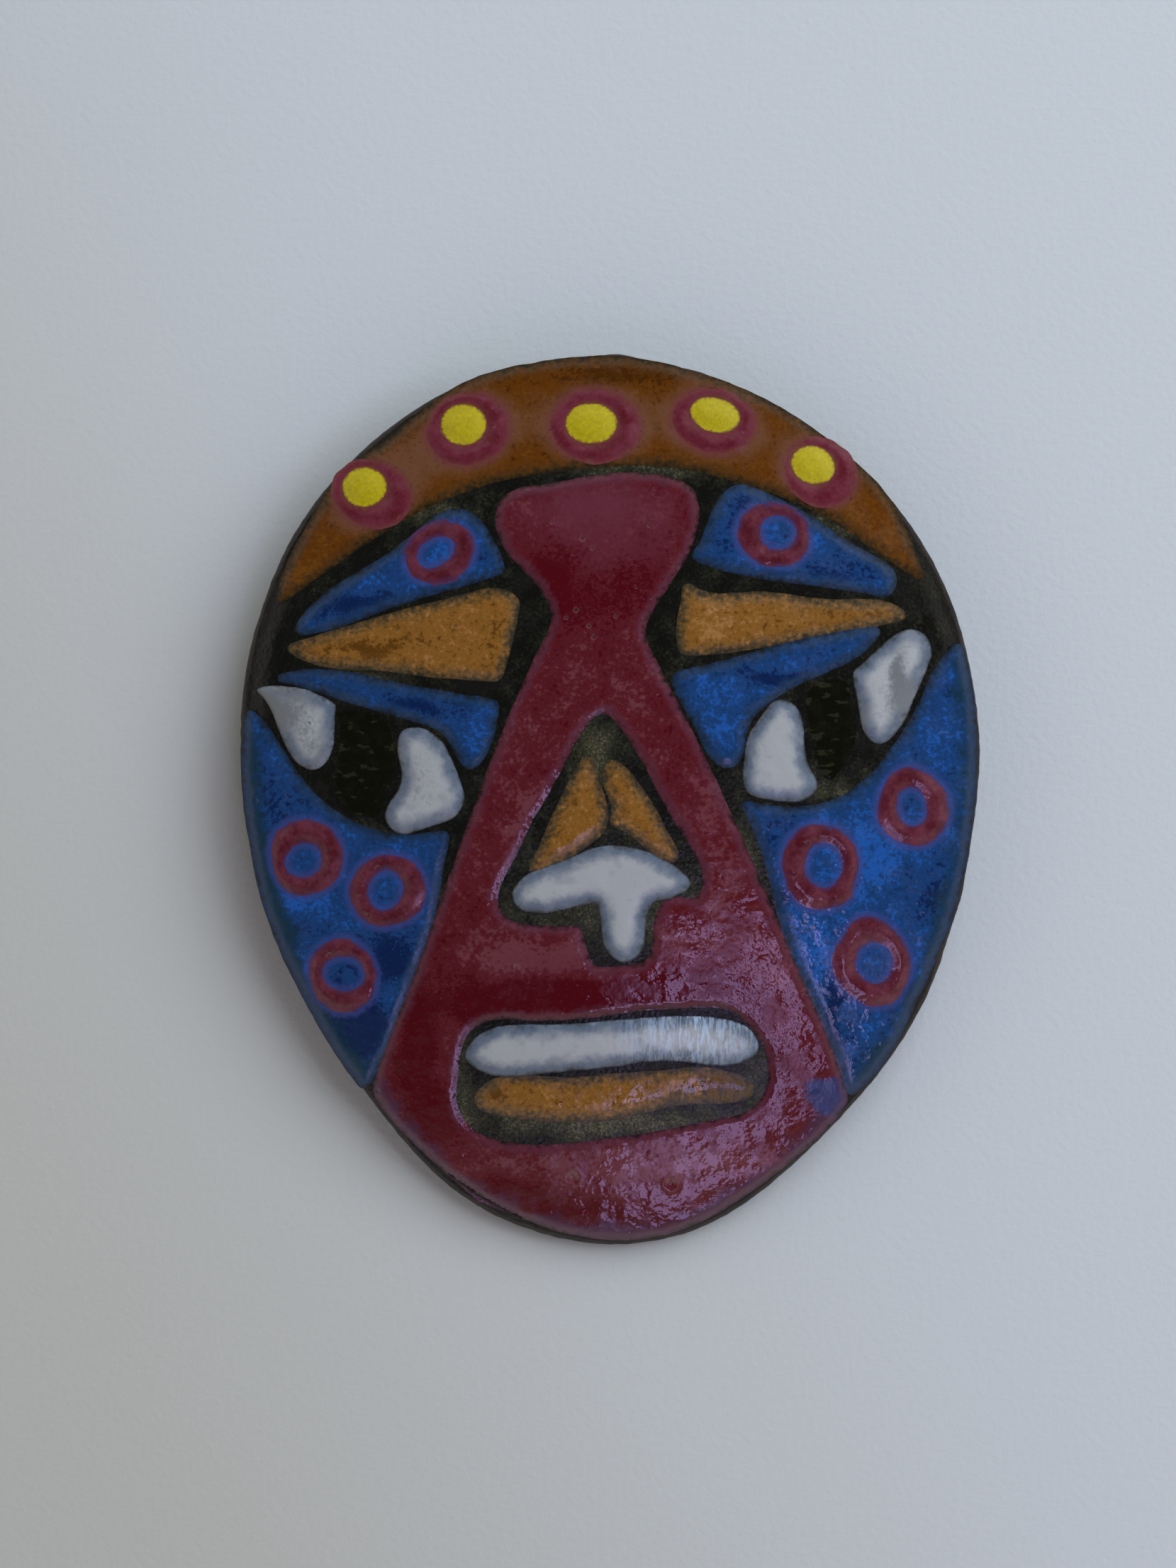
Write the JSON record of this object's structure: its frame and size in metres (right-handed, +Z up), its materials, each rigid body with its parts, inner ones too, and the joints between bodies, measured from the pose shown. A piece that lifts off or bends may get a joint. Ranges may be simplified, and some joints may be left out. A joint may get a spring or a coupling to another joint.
{
  "type": "enamelled mask brooch",
  "caption": "Small domed copper brooch in the shape of a painted folk mask, enamelled in colour fields, with a hinged bar pin and turning safety catch on the back.",
  "frame": {"origin": "under the middle of the brooch, on the table it lies on face up", "axes": "+Z up from the table through the face, +Y from chin to forehead, +X to the viewer's right, along the bar pin from hinge to catch"},
  "size_m": [0.046, 0.0556, 0.0071],
  "materials": {
    "copper": "fire-oxidised copper, rough at the cut edge",
    "black_enamel": "glossy fused enamel with a sandy, sifted surface",
    "counter_enamel": "fused counter enamel, speckled",
    "orange_enamel": "glossy sifted enamel",
    "crimson_enamel": "glossy transparent enamel with bubble pits",
    "maroon_enamel": "glossy transparent enamel",
    "amber_enamel": "glossy sifted enamel",
    "blue_enamel": "glossy transparent enamel, mottled",
    "yellow_enamel": "opaque enamel",
    "white_enamel": "raised glossy opaque enamel",
    "olive_enamel": "glossy dark enamel",
    "glue": "cured two-part glue, slightly yellowed",
    "plated_steel": "nickel-plated, lightly worn",
    "pin_steel": "drawn and ground wire"
  },
  "bodies": {
    "root": {"amber_brow_left": "amber_enamel", "amber_brow_right": "amber_enamel", "bar_plate": "plated_steel", "base_enamel": "black_enamel", "brow_field_left": "blue_enamel", "brow_field_right": "blue_enamel", "brow_ring_left": "maroon_enamel", "brow_ring_right": "maroon_enamel", "catch_housing": "plated_steel", "cheek_left": "blue_enamel", "cheek_right": "blue_enamel", "cheek_ring_left_1": "maroon_enamel", "cheek_ring_left_2": "maroon_enamel", "cheek_ring_left_3": "maroon_enamel", "cheek_ring_right_1": "maroon_enamel", "cheek_ring_right_2": "maroon_enamel", "cheek_ring_right_3": "maroon_enamel", "copper_base": "copper", "counter_enamel": "counter_enamel", "crown_band": "orange_enamel", "crown_dot_1": "yellow_enamel", "crown_dot_2": "yellow_enamel", "crown_dot_3": "yellow_enamel", "crown_dot_4": "yellow_enamel", "crown_dot_5": "yellow_enamel", "crown_ring_1": "maroon_enamel", "crown_ring_2": "maroon_enamel", "crown_ring_3": "maroon_enamel", "crown_ring_4": "maroon_enamel", "crown_ring_5": "maroon_enamel", "eye_white_inner_left": "white_enamel", "eye_white_inner_right": "white_enamel", "eye_white_outer_left": "white_enamel", "eye_white_outer_right": "white_enamel", "face_panel": "crimson_enamel", "glue_pad": "glue", "hinge_rivet": "plated_steel", "iris_left": "olive_enamel", "iris_right": "olive_enamel", "lid_left": "blue_enamel", "lid_right": "blue_enamel", "lip_lower": "amber_enamel", "lip_upper": "white_enamel", "nose_amber_left": "amber_enamel", "nose_amber_right": "amber_enamel", "nose_base": "white_enamel"},
    "pin": {"pin_stem": "pin_steel"},
    "sleeve": {"catch_sleeve": "plated_steel"}
  },
  "joints": [
    {"name": "pin_hinge", "type": "hinge", "parent": "root", "child": "pin", "pos_m": [-0.0113, 0.00635, 0.00175], "axis": [0, 1, 0], "range_deg": [0, 100]},
    {"name": "catch_turn", "type": "hinge", "parent": "root", "child": "sleeve", "pos_m": [0.0108, 0.00635, 0.00175], "axis": [-1, 0, 0], "range_deg": [0, 110]}
  ]
}
